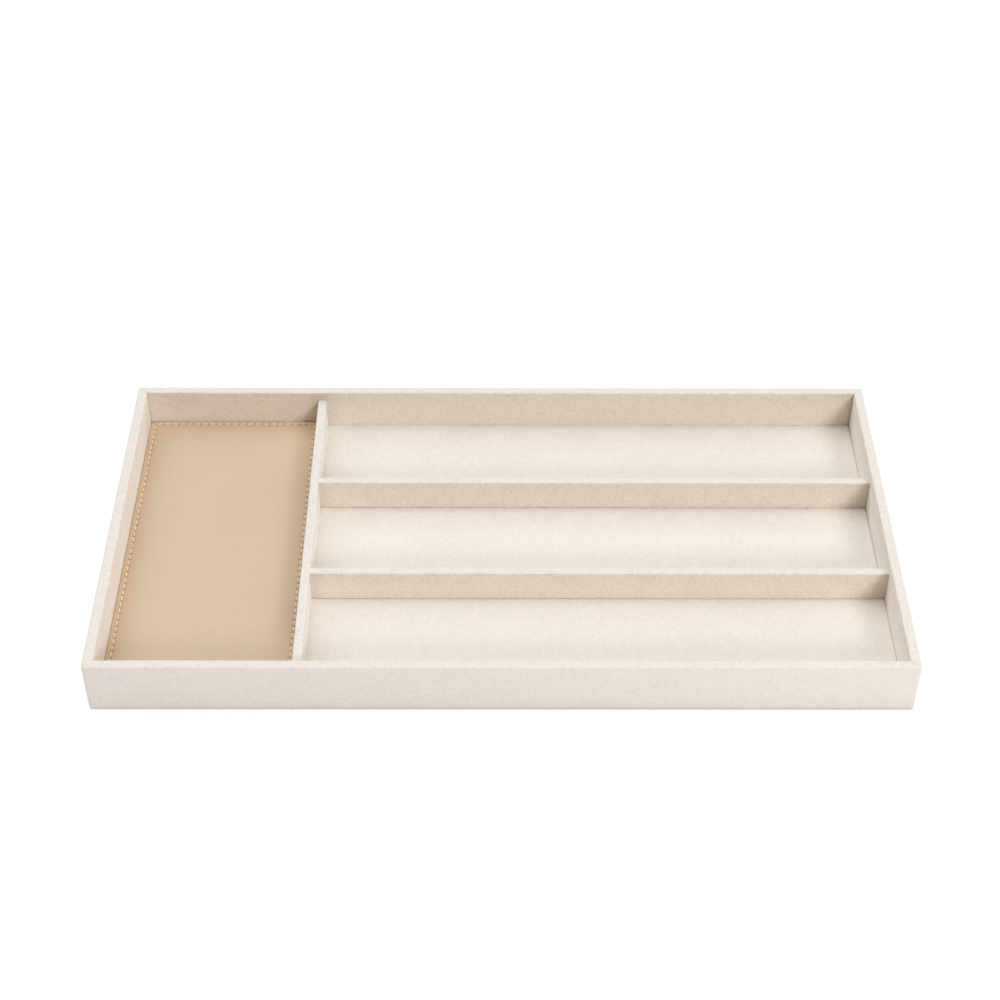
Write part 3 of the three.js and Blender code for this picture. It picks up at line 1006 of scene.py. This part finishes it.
def mix_shaders(tree, factor, first, second):
    mixed = add(tree, "ShaderNodeMixShader")
    tree.links.new(factor, mixed.inputs["Fac"])
    tree.links.new(first.outputs[0], mixed.inputs[1])
    tree.links.new(second.outputs[0], mixed.inputs[2])
    return mixed


def outside_tray(tree, value):
    """The glow on the floor round the tray, and a share of it in the gap under its edge, as painted
    shade.
    """
    place = add(tree, "ShaderNodeTexCoord")
    parts = add(tree, "ShaderNodeSeparateXYZ")
    tree.links.new(place.outputs["Object"], parts.inputs[0])
    beyond = []
    for axis, half in (("X", HALF_X), ("Y", HALF_Y)):
        away = add(tree, "ShaderNodeMath", operation="ABSOLUTE")
        tree.links.new(parts.outputs[axis], away.inputs[0])
        past = add(tree, "ShaderNodeMath", operation="SUBTRACT")
        past.inputs[1].default_value = half * MM
        tree.links.new(away.outputs[0], past.inputs[0])
        beyond.append(past)
    most = add(tree, "ShaderNodeMath", operation="MAXIMUM")
    for past, socket in zip(beyond, most.inputs):
        tree.links.new(past.outputs[0], socket)
    faded = add(tree, "ShaderNodeMapRange", interpolation_type="SMOOTHSTEP")
    faded.inputs["From Min"].default_value = GLOW_EDGE[0] * MM
    faded.inputs["From Max"].default_value = GLOW_EDGE[1] * MM
    faded.inputs["To Min"].default_value = value * GAP_SHARE
    faded.inputs["To Max"].default_value = value
    tree.links.new(most.outputs[0], faded.inputs["Value"])
    return faded.outputs["Result"]


def studio_floor():
    """A white sweep, white to the camera, that keeps the tray's shadow and paints a dark gap under
    its edge.
    """
    made = bpy.data.materials.new("studio_white")
    made.use_nodes = True
    tree = made.node_tree
    tree.nodes.clear()
    output = add(tree, "ShaderNodeOutputMaterial")
    paper = add(tree, "ShaderNodeBsdfDiffuse", Color=(0.92, 0.92, 0.92, 1))
    shade = add(tree, "ShaderNodeBsdfDiffuse", Color=(FLOOR_SHADE, FLOOR_SHADE, FLOOR_SHADE, 1))
    glow = add(tree, "ShaderNodeEmission", Color=(1, 1, 1, 1))
    tree.links.new(outside_tray(tree, FLOOR_GLOW), glow.inputs["Strength"])
    shown = add(tree, "ShaderNodeAddShader")
    tree.links.new(shade.outputs[0], shown.inputs[0])
    tree.links.new(glow.outputs[0], shown.inputs[1])
    mixed = mix_shaders(tree, backdrop_ray(tree), paper, shown)
    tree.links.new(mixed.outputs[0], output.inputs["Surface"])
    bpy.ops.mesh.primitive_circle_add(vertices=96, radius=30, fill_type="NGON")
    floor = bpy.context.object
    floor.name = "studio_floor"
    floor.data.materials.append(made)


def studio_world(strength, colour):
    world = bpy.data.worlds.new("studio")
    bpy.context.scene.world = world
    world.use_nodes = True
    tree = world.node_tree
    tree.nodes.clear()
    output = add(tree, "ShaderNodeOutputWorld")
    soft = add(tree, "ShaderNodeBackground", Color=(*colour, 1), Strength=strength)
    white = add(tree, "ShaderNodeBackground", Color=(1, 1, 1, 1), Strength=1)
    mixed = mix_shaders(tree, backdrop_ray(tree), soft, white)
    tree.links.new(mixed.outputs[0], output.inputs["Surface"])


def soft_light(name, azimuth, elevation, spread, strength, colour):
    """A distant soft light. Angles are in degrees, and strength 1 shows a white face as white."""
    data = bpy.data.lights.new(name, "SUN")
    data.energy = strength * math.pi
    data.angle = math.radians(spread)
    data.color = colour
    made = bpy.data.objects.new(name, data)
    turn, rise = math.radians(azimuth), math.radians(elevation)
    way = Vector((math.cos(rise) * math.cos(turn), math.cos(rise) * math.sin(turn), math.sin(rise)))
    made.location = way
    made.rotation_euler = way.to_track_quat("Z", "Y").to_euler()
    bpy.context.scene.collection.objects.link(made)


def near_light(name, place, aim, size, strength, colour):
    """A round lamp, in millimetres. Strength 1 shows a white face at its aim as white."""
    place, aim = Vector(place) * MM, Vector(aim) * MM
    data = bpy.data.lights.new(name, "AREA")
    data.shape = "DISK"
    data.size = size * MM
    data.energy = strength * math.pi**2 * (aim - place).length_squared
    data.color = colour
    made = bpy.data.objects.new(name, data)
    made.location = place
    made.rotation_euler = (place - aim).to_track_quat("Z", "Y").to_euler()
    bpy.context.scene.collection.objects.link(made)


def photo_camera():
    pitch, yaw, roll = (math.radians(a) for a in (CAMERA_PITCH, CAMERA_YAW, CAMERA_ROLL))
    level = Vector((math.cos(yaw), math.sin(yaw), 0))
    flat = math.cos(pitch)
    ahead = Vector((-math.sin(yaw) * flat, math.cos(yaw) * flat, -math.sin(pitch)))
    upright = level.cross(ahead)
    right = level * math.cos(roll) + upright * math.sin(roll)
    up = upright * math.cos(roll) - level * math.sin(roll)
    data = bpy.data.cameras.new("photo_camera")
    data.sensor_width = 36
    data.lens = CAMERA_FOCAL / PHOTO_WIDTH * data.sensor_width
    data.clip_start = 0.01
    made = bpy.data.objects.new("photo_camera", data)
    turn = Matrix((right, up, -ahead)).transposed().to_4x4()
    made.matrix_world = Matrix.Translation(Vector(CAMERA_PLACE) * MM) @ turn
    bpy.context.scene.collection.objects.link(made)
    bpy.context.scene.camera = made


# The tray

suede = suede_material()
wall_coverings(suede)
for seed, name in enumerate(("main_divider", "front_lane_divider", "rear_lane_divider")):
    divider_covering(f"{name}_suede", suede, 10 + seed)
for name in ("front_lane_divider", "rear_lane_divider"):
    divider_lap(f"{name}_suede", suede)
for seed, name in enumerate(("front_lane", "middle_lane", "rear_lane", "valet")):
    floor_panel(f"{name}_floor_suede", suede, 30 + seed)
flat_sheet("underside_felt", "base_felt", felt_material(), "tray", FELT_CORNER)
flat_sheet(
    "valet_mat_backing", "mat_backing", backing_material(), "valet_mat", MAT_CORNER
)
mat_stitches(thread_material(), *mat_leather(leather_material()))
dress_hidden_nodes()

photo_camera()
studio_floor()
studio_world(0.05, (1, 1, 1))
near_light("key_light", (1220, -2807, 1697), (0, 0, HEIGHT / 2), 980, 0.375, (1, 0.99, 1))
near_light("front_light", (350, -620, 60), (100, -HALF_Y, HEIGHT / 2), 200, 0.09, (1, 1, 0.94))
# Each distant light: name, azimuth, elevation, spread, strength and colour
distant_lights = (
    ("overhead_light", 0, 90, 24, 0.165, (1.01, 1, 0.96)),
    ("rear_left_light", 135, 54, 50, 0.42, (0.96, 1.005, 1.03)),
    ("rear_right_light", 45, 27, 24, 0.19, (1.06, 0.99, 0.95)),
    ("right_light", 0, 60, 34, 0.18, (0.99, 1, 1.015)),
    ("low_right_light", 0, 10, 10, 0.06, (1, 1, 1)),
    ("left_light", 180, 34, 22, 0.095, (1.08, 0.99, 0.92)),
)
for light in distant_lights:
    soft_light(*light)
bpy.context.scene.view_settings.view_transform = "Standard"
